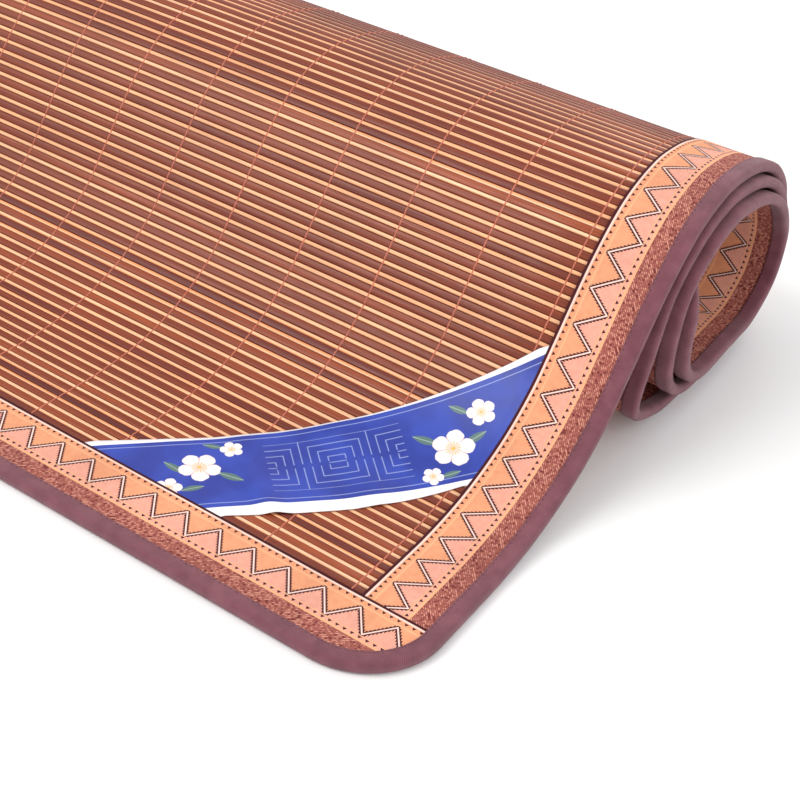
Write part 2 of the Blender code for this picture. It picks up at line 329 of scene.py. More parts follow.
class Nodes:
    """Adds the nodes of one material or node group and joins them."""

    def __init__(self, tree):
        self.tree = tree
        self.across = 0

    def add(self, kind, **settings):
        node = self.tree.nodes.new(kind)
        node.location = (self.across, -60 * (len(self.tree.nodes) % 9))
        self.across += 60
        for name, value in settings.items():
            setattr(node, name, value)
        return node

    def feed(self, socket, value):
        if isinstance(value, bpy.types.NodeSocket):
            self.tree.links.new(value, socket)
        elif socket.type == "RGBA":
            socket.default_value = (*value, 1.0)
        else:
            socket.default_value = value

    def math(self, operation, *values, clamp=False):
        node = self.add("ShaderNodeMath", operation=operation, use_clamp=clamp)
        for socket, value in zip(node.inputs, values):
            self.feed(socket, value)
        return node.outputs["Value"]

    def vector(self, x, y, z=0.0):
        node = self.add("ShaderNodeCombineXYZ")
        for socket, value in zip(node.inputs, (x, y, z)):
            self.feed(socket, value)
        return node.outputs["Vector"]

    def ramp(self, value, low, high, bottom=0.0, top=1.0):
        """Maps a value smoothly from low..high to bottom..top."""
        node = self.add("ShaderNodeMapRange", interpolation_type="SMOOTHSTEP")
        for name, number in (("Value", value), ("From Min", low), ("From Max", high),
                             ("To Min", bottom), ("To Max", top)):
            self.feed(node.inputs[name], number)
        return node.outputs["Result"]

    def stripe(self, value, start, full, last, end):
        """1 from full to last, 0 before start and after end."""
        return self.math("MULTIPLY", self.ramp(value, start, full), self.ramp(value, last, end, 1.0, 0.0))

    def tint(self, colour, by):
        return self.mix(1.0, colour, by, "MULTIPLY")

    def wear(self, colour, patch_size, amount):
        """Colour with the shared fading and rubbing."""
        tree = shared_group("Handling Wear", build_handling_wear)
        return self.group(tree, Color=colour, Patch_Size=patch_size, Amount=amount)["Color"]

    def mix(self, share, low, high, blend="MIX"):
        node = self.add("ShaderNodeMix", data_type="RGBA", blend_type=blend)
        self.feed(node.inputs["Factor"], share)
        self.feed(node.inputs[6], low)
        self.feed(node.inputs[7], high)
        return node.outputs[2]

    def noise(self, place, scale, detail=2.0, roughness=0.5):
        node = self.add("ShaderNodeTexNoise")
        self.feed(node.inputs["Vector"], place)
        self.feed(node.inputs["Scale"], scale)
        self.feed(node.inputs["Detail"], detail)
        self.feed(node.inputs["Roughness"], roughness)
        return node.outputs["Fac"]

    def chance(self, number):
        """A random value for each whole number."""
        node = self.add("ShaderNodeTexWhiteNoise", noise_dimensions="1D")
        self.feed(node.inputs["W"], number)
        return node.outputs["Value"]

    def flat_place(self):
        """Across and along the flat-cut piece, in metres."""
        place = self.add("ShaderNodeUVMap", uv_map="Flat")
        split = self.add("ShaderNodeSeparateXYZ")
        self.feed(split.inputs["Vector"], place.outputs["UV"])
        return split.outputs["X"], split.outputs["Y"]

    def object_place(self):
        return self.add("ShaderNodeTexCoord").outputs["Object"]

    def group(self, tree, **values):
        node = self.add("ShaderNodeGroup", node_tree=tree)
        for name, value in values.items():
            self.feed(node.inputs[name.replace("_", " ")], value)
        return node.outputs


def start_group(name, inputs, outputs):
    """A new node group; returns its nodes, its inputs and a function that sets outputs."""
    tree = bpy.data.node_groups.new(name, "ShaderNodeTree")
    for label, kind, value in inputs:
        socket = tree.interface.new_socket(label, in_out="INPUT", socket_type=kind)
        socket.default_value = (*value, 1.0) if kind == "NodeSocketColor" else value
    for label, kind in outputs:
        tree.interface.new_socket(label, in_out="OUTPUT", socket_type=kind)
    nodes = Nodes(tree)
    source = nodes.add("NodeGroupInput")
    target = nodes.add("NodeGroupOutput")

    def give(**values):
        for label, value in values.items():
            nodes.feed(target.inputs[label.replace("_", " ")], value)
        return tree

    return nodes, source.outputs, give


def shared_group(name, build):
    return bpy.data.node_groups.get(name) or build(name)


FLOAT = "NodeSocketFloat"
COLOUR = "NodeSocketColor"


def build_bamboo_grain(name):
    """Fibres, pores and slow changes of tone along a split bamboo slat."""
    nodes, given, give = start_group(
        name,
        (("Along", FLOAT, 0.0), ("Across", FLOAT, 0.0), ("Slat", FLOAT, 0.0),
         ("Deep", COLOUR, (0.1, 0.02, 0.01)), ("Middle", COLOUR, (0.2, 0.04, 0.02)),
         ("Bright", COLOUR, (0.4, 0.1, 0.03)), ("Fibre Strength", FLOAT, 0.5)),
        (("Color", COLOUR), ("Height", FLOAT), ("Roughness", FLOAT)),
    )
    own = nodes.chance(given["Slat"])
    shifted = nodes.math("MULTIPLY", own, 37.0)
    slow = nodes.noise(nodes.vector(nodes.math("MULTIPLY", given["Along"], 2.6), shifted), 1.0, 2.0)
    tone = nodes.math("ADD", nodes.math("MULTIPLY", own, 0.72), nodes.math("MULTIPLY", slow, 0.42))
    dark_part = nodes.ramp(tone, 0.02, 0.5)
    light_part = nodes.ramp(tone, 0.58, 1.08)
    base = nodes.mix(light_part, nodes.mix(dark_part, given["Deep"], given["Middle"]), given["Bright"])
    fibre_place = nodes.vector(
        nodes.math("MULTIPLY", given["Along"], 9.0),
        nodes.math("MULTIPLY", given["Across"], 1500.0),
        shifted,
    )
    fibres = nodes.noise(fibre_place, 1.0, 4.0, 0.65)
    streak_place = nodes.vector(
        nodes.math("MULTIPLY", given["Along"], 22.0),
        nodes.math("MULTIPLY", given["Across"], 3600.0),
        shifted,
    )
    streaks = nodes.noise(streak_place, 1.0, 2.0, 0.6)
    pores = nodes.ramp(streaks, 0.62, 0.74)
    strength = nodes.math("MULTIPLY", given["Fibre Strength"], nodes.ramp(fibres, 0.35, 0.62, 1.0, 0.0))
    with_fibres = nodes.mix(strength, base, nodes.tint(base, (0.42, 0.30, 0.26)))
    lifted = nodes.mix(
        nodes.math("MULTIPLY", nodes.ramp(fibres, 0.58, 0.8), 0.35), with_fibres,
        nodes.tint(with_fibres, (1.5, 1.35, 1.2)))
    colour = nodes.mix(
        nodes.math("MULTIPLY", pores, nodes.math("MULTIPLY", given["Fibre Strength"], 0.7)),
        lifted, nodes.tint(lifted, (0.3, 0.22, 0.2)))
    height = nodes.math("SUBTRACT", fibres, nodes.math("MULTIPLY", pores, 0.5))
    roughness = nodes.ramp(fibres, 0.3, 0.75, 0.46, 0.30)
    return give(Color=colour, Height=height, Roughness=roughness)


def build_zigzag_ribbon(name):
    """Woven border figure: two lines, rows of small triangles and a toothed zigzag."""
    nodes, given, give = start_group(
        name,
        (("Across", FLOAT, 0.0), ("Along", FLOAT, 0.0), ("Pitch", FLOAT, 22.5)),
        (("Dark", FLOAT), ("Pale", FLOAT), ("Outer Side", FLOAT), ("Bright", FLOAT)),
    )
    across = nodes.math("MULTIPLY", given["Across"], 1000.0)
    along = nodes.math("MULTIPLY", given["Along"], 1000.0)
    half = nodes.math("MULTIPLY", given["Pitch"], 0.5)
    swing = nodes.math("DIVIDE", nodes.math("PINGPONG", along, half), half)
    centre = nodes.math("MULTIPLY_ADD", swing, 15.4, 8.6)
    away = nodes.math("SUBTRACT", across, centre)
    off_line = nodes.math("MULTIPLY", nodes.math("ABSOLUTE", away), 0.585)
    tooth_step = nodes.math("DIVIDE", given["Pitch"], 36.0)
    teeth = nodes.math("DIVIDE", nodes.math("PINGPONG", along, tooth_step), tooth_step)
    reach = nodes.math("MULTIPLY_ADD", teeth, 0.95, 0.95)
    inside = nodes.stripe(across, 7.2, 7.5, 24.6, 24.9)
    band = nodes.math("SUBTRACT", reach, off_line)
    toothed = nodes.math("MULTIPLY", nodes.ramp(band, -0.1, 0.1), inside)
    core = nodes.math("MULTIPLY", nodes.ramp(off_line, 0.38, 0.56, 1.0, 0.0), inside)
    small = nodes.math("DIVIDE", given["Pitch"], 10.0)
    peak = nodes.math("DIVIDE", nodes.math("PINGPONG", along, small), small)
    slope = nodes.math("MAXIMUM", nodes.math("MULTIPLY_ADD", peak, 1.7, -0.75), 0.0)
    slope = nodes.math("MINIMUM", nodes.math("MULTIPLY", slope, 2.1), 1.9)
    lift_in = nodes.math("SUBTRACT", across, 3.6)
    row_in = nodes.math("MULTIPLY", nodes.ramp(lift_in, -0.1, 0.1),
                        nodes.ramp(nodes.math("SUBTRACT", slope, lift_in), 0.0, 0.2))
    lift_out = nodes.math("SUBTRACT", across, 25.5)
    row_out = nodes.math("MULTIPLY", nodes.ramp(lift_out, -0.1, 0.1),
                         nodes.ramp(nodes.math("SUBTRACT", slope, lift_out), 0.0, 0.2))
    edge = nodes.ramp(across, 1.55, 1.75, 1.0, 0.0)
    dark = nodes.math("MAXIMUM", nodes.math("SUBTRACT", toothed, core, clamp=True), edge)
    dark = nodes.math("MAXIMUM", dark, nodes.math("MAXIMUM", row_in, row_out))
    first_line = nodes.stripe(across, 1.7, 1.9, 2.9, 3.1)
    pale = nodes.math("MAXIMUM", core, first_line)
    outer_side = nodes.ramp(away, -0.2, 0.2)
    line_in = nodes.stripe(across, 6.2, 6.5, 7.4, 7.7)
    line_out = nodes.stripe(across, 24.5, 24.7, 25.2, 25.4)
    stripe = nodes.ramp(across, 27.2, 27.4)
    bright = nodes.math("MAXIMUM", nodes.math("MAXIMUM", line_in, line_out), stripe)
    return give(Dark=dark, Pale=pale, Outer_Side=outer_side, Bright=bright)


def build_fleck_weave(name):
    """Mottled weave of slanting flecks, for the outer half of the border, with dark yarn and painted shade
    in the grooves between the fleck lanes.
    """
    nodes, given, give = start_group(
        name,
        (("Across", FLOAT, 0.0), ("Along", FLOAT, 0.0), ("Slant", FLOAT, 0.62),
         ("Fleck Length", FLOAT, 3.2), ("Fleck Pitch", FLOAT, 1.15)),
        (("Fleck", FLOAT), ("Deep", FLOAT), ("Height", FLOAT)),
    )
    across = nodes.math("MULTIPLY", given["Across"], 1000.0)
    along = nodes.math("MULTIPLY", given["Along"], 1000.0)
    side = nodes.math("SQRT", nodes.math("SUBTRACT", 1.0,
                                         nodes.math("MULTIPLY", given["Slant"], given["Slant"])))
    run = nodes.math("SUBTRACT", nodes.math("MULTIPLY", along, side),
                     nodes.math("MULTIPLY", across, given["Slant"]))
    rise = nodes.math("ADD", nodes.math("MULTIPLY", along, given["Slant"]),
                      nodes.math("MULTIPLY", across, side))
    step = nodes.math("DIVIDE", rise, given["Fleck Pitch"])
    lane = nodes.math("FLOOR", step)
    in_lane = nodes.math("FRACT", step)
    jump = nodes.math("MULTIPLY", nodes.chance(lane), 91.0)
    cell_place = nodes.vector(nodes.math("ADD", nodes.math("DIVIDE", run, given["Fleck Length"]), jump),
                              nodes.math("MULTIPLY", lane, 3.7))
    cells = nodes.noise(cell_place, 1.6, 1.0, 0.5)
    ridge = nodes.math("SINE", nodes.math("MULTIPLY", in_lane, math.pi))
    fleck = nodes.math("MULTIPLY", nodes.ramp(cells, 0.5, 0.6), nodes.ramp(ridge, 0.25, 0.7))
    # Deep: dark yarn where the cells are low, and painted shade in the grooves between the fleck lanes.
    deep = nodes.math("MAXIMUM", nodes.ramp(cells, 0.43, 0.33), nodes.ramp(ridge, 0.35, 0.08))
    height = nodes.math("ADD", nodes.math("MULTIPLY", ridge, 0.6), nodes.math("MULTIPLY", fleck, 0.4))
    return give(Fleck=fleck, Deep=deep, Height=height)


def build_ribbed_weave(name):
    """Fine raised ribs of a woven tape or cloth, with a little unevenness, and a painted shade mask for
    the valleys between them.
    """
    nodes, given, give = start_group(
        name,
        (("Across", FLOAT, 0.0), ("Along", FLOAT, 0.0), ("Rib Pitch", FLOAT, 0.8),
         ("Slant", FLOAT, 0.2), ("Thread Pitch", FLOAT, 0.5)),
        (("Height", FLOAT), ("Valley", FLOAT)),
    )
    across = nodes.math("MULTIPLY", given["Across"], 1000.0)
    along = nodes.math("MULTIPLY", given["Along"], 1000.0)
    sway = nodes.math("MULTIPLY", nodes.noise(nodes.vector(across, along), 0.25, 1.0), 0.5)
    rib_at = nodes.math("ADD", nodes.math("MULTIPLY_ADD", across, given["Slant"], along), sway)
    rib = nodes.math("PINGPONG", rib_at, nodes.math("MULTIPLY", given["Rib Pitch"], 0.5))
    rib = nodes.math("DIVIDE", rib, nodes.math("MULTIPLY", given["Rib Pitch"], 0.5))
    thread = nodes.math("PINGPONG", across, nodes.math("MULTIPLY", given["Thread Pitch"], 0.5))
    thread = nodes.math("DIVIDE", thread, nodes.math("MULTIPLY", given["Thread Pitch"], 0.5))
    height = nodes.math("ADD", nodes.math("MULTIPLY", rib, 0.75), nodes.math("MULTIPLY", thread, 0.25))
    # Painted shade mask: 1 in the valleys between the ribs, 0 on their crests.
    valley_shade = nodes.ramp(rib, 0.05, 0.55, 1.0, 0.0)
    return give(Height=height, Valley=valley_shade)


def build_handling_wear(name):
    """Slow fading and rubbed patches over a whole piece."""
    nodes, given, give = start_group(
        name,
        (("Color", COLOUR, (0.5, 0.5, 0.5)), ("Patch Size", FLOAT, 0.06), ("Amount", FLOAT, 0.2)),
        (("Color", COLOUR), ("Rubbed", FLOAT)),
    )
    place = nodes.object_place()
    scale = nodes.math("DIVIDE", 1.0, given["Patch Size"])
    patches = nodes.noise(place, scale, 4.0, 0.6)
    rubbed = nodes.ramp(patches, 0.45, 0.7)
    lighter = nodes.tint(given["Color"], (1.28, 1.24, 1.22))
    darker = nodes.tint(given["Color"], (0.72, 0.70, 0.72))
    shaded = nodes.mix(nodes.math("MULTIPLY", nodes.ramp(patches, 0.5, 0.3), given["Amount"]),
                       given["Color"], darker)
    colour = nodes.mix(nodes.math("MULTIPLY", rubbed, given["Amount"]), shaded, lighter)
    return give(Color=colour, Rubbed=rubbed)


def build_blossom(name):
    """A printed five-petal blossom at a place on the band."""
    nodes, given, give = start_group(
        name,
        (("X", FLOAT, 0.0), ("Y", FLOAT, 0.0), ("Centre X", FLOAT, 0.0), ("Centre Y", FLOAT, 0.0),
         ("Radius", FLOAT, 10.0), ("Turn", FLOAT, 0.0)),
        (("Petal", FLOAT), ("Blush", FLOAT), ("Stamen", FLOAT)),
    )
    dx = nodes.math("DIVIDE", nodes.math("SUBTRACT", given["X"], given["Centre X"]), given["Radius"])
    dy = nodes.math("DIVIDE", nodes.math("SUBTRACT", given["Y"], given["Centre Y"]), given["Radius"])
    reach = nodes.math("SQRT", nodes.math("ADD", nodes.math("MULTIPLY", dx, dx),
                                          nodes.math("MULTIPLY", dy, dy)))
    angle = nodes.math("ADD", nodes.math("ARCTAN2", dy, dx), given["Turn"])
    lobe = nodes.math("ABSOLUTE", nodes.math("COSINE", nodes.math("MULTIPLY", angle, 2.5)))
    frill = nodes.math("MULTIPLY", nodes.noise(nodes.vector(dx, dy), 3.5, 2.0), 0.14)
    petals = nodes.math("MULTIPLY_ADD", nodes.math("POWER", lobe, 0.45), 0.42, 0.5)
    outline = nodes.math("ADD", petals, frill)
    inside = nodes.math("SUBTRACT", outline, reach)
    petal = nodes.ramp(inside, 0.0, 0.05)
    crease = nodes.math("MULTIPLY", nodes.ramp(lobe, 0.3, 0.0), nodes.ramp(reach, 0.15, 0.5))
    veins = nodes.noise(nodes.vector(nodes.math("MULTIPLY", angle, 6.0), reach), 1.4, 2.0)
    heart = nodes.ramp(reach, 0.55, 0.05)
    blush = nodes.math("MAXIMUM", nodes.math("MULTIPLY", crease, 0.8),
                       nodes.math("MULTIPLY", nodes.math("ADD", heart, nodes.ramp(veins, 0.5, 0.75)), 0.4))
    rays = nodes.math("ABSOLUTE", nodes.math("SINE", nodes.math("MULTIPLY", angle, 7.0)))
    ring = nodes.math("MULTIPLY", nodes.ramp(reach, 0.40, 0.30), nodes.ramp(rays, 0.80, 0.92))
    stamen = nodes.math("MAXIMUM", ring, nodes.ramp(reach, 0.12, 0.07))
    return give(Petal=petal, Blush=nodes.math("MULTIPLY", blush, petal),
                Stamen=nodes.math("MULTIPLY", stamen, petal))


def build_leaf(name):
    """A printed pointed leaf at a place on the band."""
    nodes, given, give = start_group(
        name,
        (("X", FLOAT, 0.0), ("Y", FLOAT, 0.0), ("Centre X", FLOAT, 0.0), ("Centre Y", FLOAT, 0.0),
         ("Length", FLOAT, 8.0), ("Turn", FLOAT, 0.0)),
        (("Leaf", FLOAT), ("Vein", FLOAT)),
    )
    dx = nodes.math("SUBTRACT", given["X"], given["Centre X"])
    dy = nodes.math("SUBTRACT", given["Y"], given["Centre Y"])
    cosine = nodes.math("COSINE", given["Turn"])
    sine = nodes.math("SINE", given["Turn"])
    along = nodes.math("DIVIDE", nodes.math("ADD", nodes.math("MULTIPLY", dx, cosine),
                                            nodes.math("MULTIPLY", dy, sine)), given["Length"])
    across = nodes.math("DIVIDE", nodes.math("SUBTRACT", nodes.math("MULTIPLY", dy, cosine),
                                             nodes.math("MULTIPLY", dx, sine)), given["Length"])
    belly = nodes.math("MULTIPLY", nodes.math("SUBTRACT", 1.0, nodes.math("MULTIPLY", along, along)), 0.34)
    inside = nodes.math("SUBTRACT", belly, nodes.math("ABSOLUTE", across))
    leaf = nodes.ramp(inside, 0.0, 0.05)
    vein = nodes.ramp(nodes.math("ABSOLUTE", across), 0.05, 0.02)
    return give(Leaf=leaf, Vein=nodes.math("MULTIPLY", vein, leaf))


def build_key_fret(name):
    """Thin lines of nested squares, opened on alternate sides as in a key fret."""
    nodes, given, give = start_group(
        name,
        (("X", FLOAT, 0.0), ("Y", FLOAT, 0.0), ("Tile", FLOAT, 30.0), ("Ring", FLOAT, 5.0)),
        (("Line", FLOAT),),
    )
    half = nodes.math("MULTIPLY", given["Tile"], 0.5)
    fold_x = nodes.math("PINGPONG", given["X"], half)
    fold_y = nodes.math("ABSOLUTE", given["Y"])
    square = nodes.math("MAXIMUM", fold_x, fold_y)
    ring_at = nodes.math("PINGPONG", square, nodes.math("MULTIPLY", given["Ring"], 0.5))
    line = nodes.ramp(ring_at, 0.45, 0.2)
    gap = nodes.math("MULTIPLY", nodes.ramp(fold_y, 1.6, 1.2), nodes.ramp(fold_x, 1.0, 1.4))
    post = nodes.math("MULTIPLY", nodes.ramp(fold_y, 0.45, 0.2), nodes.ramp(fold_x, 5.2, 5.0))
    return give(Line=nodes.math("MAXIMUM", nodes.math("MULTIPLY", line, nodes.math("SUBTRACT", 1.0, gap)),
                                post))


def start_material(name):
    material = bpy.data.materials.new(name)
    material.use_nodes = True
    nodes = Nodes(material.node_tree)
    shader = material.node_tree.nodes["Principled BSDF"]
    return material, nodes, shader


def raise_surface(nodes, shader, height, distance, strength=1.0):
    bump = nodes.add("ShaderNodeBump")
    bump.inputs["Strength"].default_value = strength
    bump.inputs["Distance"].default_value = distance
    nodes.feed(bump.inputs["Height"], height)
    nodes.feed(shader.inputs["Normal"], bump.outputs["Normal"])


def slat_material(name, deep, middle, bright, fibre_strength):
    material, nodes, shader = start_material(name)
    along, across = nodes.flat_place()
    number = nodes.math("FLOOR", nodes.math("DIVIDE", across, sizes().slat_pitch))
    grain = nodes.group(shared_group("Bamboo Grain", build_bamboo_grain), Along=along, Across=across,
                        Slat=number, Deep=deep, Middle=middle, Bright=bright,
                        Fibre_Strength=fibre_strength)
    nodes.feed(shader.inputs["Base Color"], nodes.wear(grain["Color"], 0.09, 0.45))
    nodes.feed(shader.inputs["Roughness"], grain["Roughness"])
    shader.inputs["Specular IOR Level"].default_value = 0.4
    raise_surface(nodes, shader, grain["Height"], 0.00012)
    return material


def border_material():
    material, nodes, shader = start_material("Woven Border")
    tints = colours()
    across, along = nodes.flat_place()
    figure = nodes.group(shared_group("Zigzag Ribbon", build_zigzag_ribbon), Across=across, Along=along,
                         Pitch=sizes().zigzag_pitch * 1000)
    flecks = nodes.group(shared_group("Fleck Weave", build_fleck_weave), Across=across, Along=along)
    weave = nodes.group(shared_group("Ribbed Weave", build_ribbed_weave), Across=across, Along=along,
                        Rib_Pitch=0.62, Slant=0.0, Thread_Pitch=0.62)
    cloud = nodes.noise(nodes.vector(across, along), 260.0, 3.0)
    ground = nodes.mix(figure["Outer Side"], tints.border_peach, tints.border_pink)
    ground = nodes.mix(nodes.math("MULTIPLY", nodes.ramp(cloud, 0.35, 0.7), 0.35), ground,
                       nodes.tint(ground, (0.82, 0.70, 0.68)))
    ground = nodes.mix(figure["Bright"], ground, tints.border_stripe)
    ground = nodes.mix(figure["Pale"], ground, tints.border_pale)
    ribbon = nodes.mix(figure["Dark"], ground, tints.border_dark)
    # Dark yarn, and painted shade in the grooves between the fleck lanes.
    mottle = nodes.mix(flecks["Deep"], tints.jacquard, tints.jacquard_yarn_and_groove_shade)
    mottle = nodes.mix(flecks["Fleck"], mottle, tints.jacquard_fleck)
    outer = nodes.ramp(across, 0.0288, 0.0291)
    woven = nodes.mix(outer, ribbon, mottle)
    # Painted shade: the weave darkened in the valleys between its ribs.
    woven = nodes.mix(nodes.math("MULTIPLY", weave["Valley"], 0.28), woven,
                      nodes.tint(woven, (0.55, 0.45, 0.45)))
    # Painted shadow under the tape: the border darkened from about 43 mm out to the rim.
    seam = nodes.ramp(across, 0.0428, 0.0440)
    woven = nodes.mix(nodes.math("MULTIPLY", seam, 0.8), woven, tints.border_dark)
    nodes.feed(shader.inputs["Base Color"], nodes.wear(woven, 0.05, 0.3))
    nodes.feed(shader.inputs["Roughness"], nodes.ramp(flecks["Fleck"], 0.0, 1.0, 0.82, 0.66))
    shader.inputs["Specular IOR Level"].default_value = 0.25
    raised = nodes.math("ADD", nodes.math("MULTIPLY", flecks["Height"], outer),
                        nodes.math("MULTIPLY", figure["Dark"], nodes.math("SUBTRACT", 1.0, outer)))
    height = nodes.math("ADD", raised, nodes.math("MULTIPLY", weave["Height"], 0.5))
    raise_surface(nodes, shader, height, 0.00022)
    return material


def tape_material():
    material, nodes, shader = start_material("Ribbed Tape")
    tints = colours()
    across, along = nodes.flat_place()
    weave = nodes.group(shared_group("Ribbed Weave", build_ribbed_weave), Across=across, Along=along,
                        Rib_Pitch=1.0, Slant=0.45, Thread_Pitch=0.45)
    cloud = nodes.noise(nodes.vector(across, along), 90.0, 4.0)
    colour = nodes.mix(nodes.ramp(cloud, 0.3, 0.7), tints.tape, tints.tape_light)
    # Painted shade in the valleys between the tape's ribs.
    colour = nodes.mix(nodes.math("MULTIPLY", weave["Valley"], 0.62), colour, tints.tape_valley_shade)
    nodes.feed(shader.inputs["Base Color"], nodes.wear(colour, 0.03, 0.4))
    nodes.feed(shader.inputs["Roughness"], nodes.ramp(weave["Height"], 0.0, 1.0, 0.78, 0.58))
    shader.inputs["Sheen Weight"].default_value = 0.15
    shader.inputs["Specular IOR Level"].default_value = 0.3
    raise_surface(nodes, shader, weave["Height"], 0.00025)
    return material


def thread_material(name, colour, deep):
    material, nodes, shader = start_material(name)
    place = nodes.object_place()
    strands = nodes.noise(place, 2600.0, 2.0)
    shade = nodes.mix(nodes.ramp(strands, 0.35, 0.65), deep, colour)
    nodes.feed(shader.inputs["Base Color"], nodes.wear(shade, 0.02, 0.3))
    nodes.feed(shader.inputs["Roughness"], nodes.ramp(strands, 0.3, 0.7, 0.7, 0.5))
    raise_surface(nodes, shader, strands, 0.0001)
    return material


# Blossoms on the band: distance along it, distance across it, radius (mm) and turn
BLOSSOMS = (
    (-78.0, 40.0, 12.5, 0.4),
    (-97.0, 24.0, 8.0, 1.3),
    (-58.0, 54.0, 7.0, 2.0),
    (66.0, 28.0, 13.0, 2.6),
    (88.0, 46.0, 9.0, 0.9),
    (50.0, 12.0, 6.5, 1.7),
)

# Leaves beside them: along, across, half length (mm) and turn
LEAVES = (
    (-62.0, 30.0, 8.5, -0.6),
    (-92.0, 41.0, 8.0, 2.3),
    (-84.0, 22.0, 7.0, 0.2),
    (-68.0, 58.0, 6.5, 2.8),
    (52.0, 38.0, 8.5, 2.5),
    (80.0, 31.0, 8.0, 0.3),
    (60.0, 11.0, 6.5, 0.1),
    (76.0, 52.0, 7.0, 2.4),
)


def satin_material(width):
    material, nodes, shader = start_material("Printed Satin")
    tints = colours()
    across, along = nodes.flat_place()
    x = nodes.math("MULTIPLY", along, 1000.0)
    y = nodes.math("MULTIPLY", across, 1000.0)
    cloud = nodes.noise(nodes.vector(x, y), 0.035, 2.0)
    colour = nodes.mix(nodes.ramp(cloud, 0.35, 0.65), tints.satin_deep, tints.satin)
    wide = width * 1000
    from_edge = nodes.math("MINIMUM", y, nodes.math("SUBTRACT", wide, y))
    fret_y = nodes.math("SUBTRACT", y, wide / 2)
    fret = nodes.group(shared_group("Key Fret", build_key_fret), X=x, Y=fret_y, Tile=40.0, Ring=5.0)
    in_middle = nodes.math("MULTIPLY", nodes.ramp(nodes.math("ABSOLUTE", x), 40.2, 39.8),
                           nodes.ramp(nodes.math("ABSOLUTE", fret_y), 20.2, 19.8))
    line = nodes.math("MULTIPLY", fret["Line"], in_middle)
    rule = nodes.stripe(from_edge, 7.9, 8.1, 8.5, 8.7)
    colour = nodes.mix(nodes.math("MULTIPLY", nodes.math("MAXIMUM", line, rule), 0.55),
                       colour, tints.satin_line)
    for centre_x, centre_y, length, turn in LEAVES:
        leaf = nodes.group(shared_group("Leaf", build_leaf), X=x, Y=y, Centre_X=centre_x,
                           Centre_Y=centre_y, Length=length, Turn=turn)
        colour = nodes.mix(leaf["Leaf"], colour, tints.leaf)
        colour = nodes.mix(nodes.math("MULTIPLY", leaf["Vein"], 0.7), colour, tints.leaf_vein)
    for centre_x, centre_y, radius, turn in BLOSSOMS:
        bloom = nodes.group(shared_group("Blossom", build_blossom), X=x, Y=y, Centre_X=centre_x,
                            Centre_Y=centre_y, Radius=radius, Turn=turn)
        colour = nodes.mix(bloom["Petal"], colour, tints.petal)
        colour = nodes.mix(bloom["Blush"], colour, tints.petal_blush)
        colour = nodes.mix(bloom["Stamen"], colour, tints.stamen)
    colour = nodes.mix(nodes.ramp(from_edge, 5.0, 4.7), colour, tints.satin_edge)
    nodes.feed(shader.inputs["Base Color"], nodes.wear(colour, 0.04, 0.12))
    nodes.feed(shader.inputs["Roughness"], nodes.ramp(cloud, 0.3, 0.7, 0.30, 0.40))
    shader.inputs["Sheen Weight"].default_value = 0.1
    threads = nodes.group(shared_group("Ribbed Weave", build_ribbed_weave), Across=across, Along=along,
                          Rib_Pitch=0.35, Slant=0.3, Thread_Pitch=0.3)
    raise_surface(nodes, shader, threads["Height"], 0.00003)
    return material


def floor_material():
    material, nodes, shader = start_material("Pale Floor")
    cloud = nodes.noise(nodes.object_place(), 1.5, 3.0)
    nodes.feed(shader.inputs["Base Color"],
               nodes.mix(nodes.ramp(cloud, 0.3, 0.7), (0.90, 0.90, 0.90), (0.93, 0.93, 0.93)))
    nodes.feed(shader.inputs["Roughness"], nodes.ramp(cloud, 0.3, 0.7, 0.75, 0.85))
    shader.inputs["Specular IOR Level"].default_value = 0.1
    return material


def slat_strip(name, width, height, offset, rounding, segments):
    """One slat modelled as a rounded bar, repeated along the mat and made uneven."""
    pitch = sizes().slat_pitch
    length = MAT_WIDTH - 2 * PANEL_INSET
    count = int((SLAT_END - SLAT_START) / pitch)
    clear_selection()
    bpy.ops.mesh.primitive_cube_add(size=1.0, location=(0, 0, 0))
    slat = bpy.context.object
    slat.name = name
    slat.data.name = name
    bpy.ops.object.mode_set(mode="EDIT")
    bpy.ops.mesh.select_all(action="SELECT")
    bpy.ops.transform.resize(value=(length, width, height))
    bpy.ops.transform.translate(value=(0, SLAT_START + offset, 0))
    select_long_edges(slat)
    bpy.ops.mesh.bevel(offset=rounding, segments=segments, affect="EDGES")
    select_long_edges(slat)
    bpy.ops.mesh.subdivide(number_cuts=SLAT_CUTS)
    bpy.ops.object.mode_set(mode="OBJECT")
    apply_modifier(slat, "ARRAY", count=count, use_relative_offset=False,
                   use_constant_offset=True, constant_offset_displace=(0, pitch, 0))
    map_flat(slat)
    half_width = width / 2
    for vertex in slat.data.vertices:
        x, s, n = vertex.co
        number = math.floor((s - SLAT_START) / pitch)
        middle = SLAT_START + number * pitch + offset
        tilt = 0.00018 * ripple(number * 7.31, 2.0)
        thickness = 1.0 + 0.10 * ripple(number * 3.17, 5.0, x * 2.0)
        narrowing = 1.0 + 0.03 * ripple(number * 5.77, 9.0, x * 3.0)
        sway = 0.00016 * ripple(x * 5.0, number * 1.93)
        lift = 0.00012 * ripple(x * 7.0, number * 2.71, 4.0)
        across = (s - middle) / half_width
        vertex.co.y = middle + (s - middle) * narrowing + sway
        vertex.co.z = n * thickness + lift + tilt * across
    section.lay_mesh(slat)
    return slat


def select_long_edges(obj):
    """Selects the edges that run along the slat."""
    bpy.ops.mesh.select_mode(type="EDGE")
    bpy.ops.mesh.select_all(action="DESELECT")
    bm = bmesh.from_edit_mesh(obj.data)
    for edge in bm.edges:
        run = edge.verts[0].co - edge.verts[1].co
        edge.select_set(abs(run.x) > 0.5 * run.length and run.length > 0.1)
    bmesh.update_edit_mesh(obj.data)


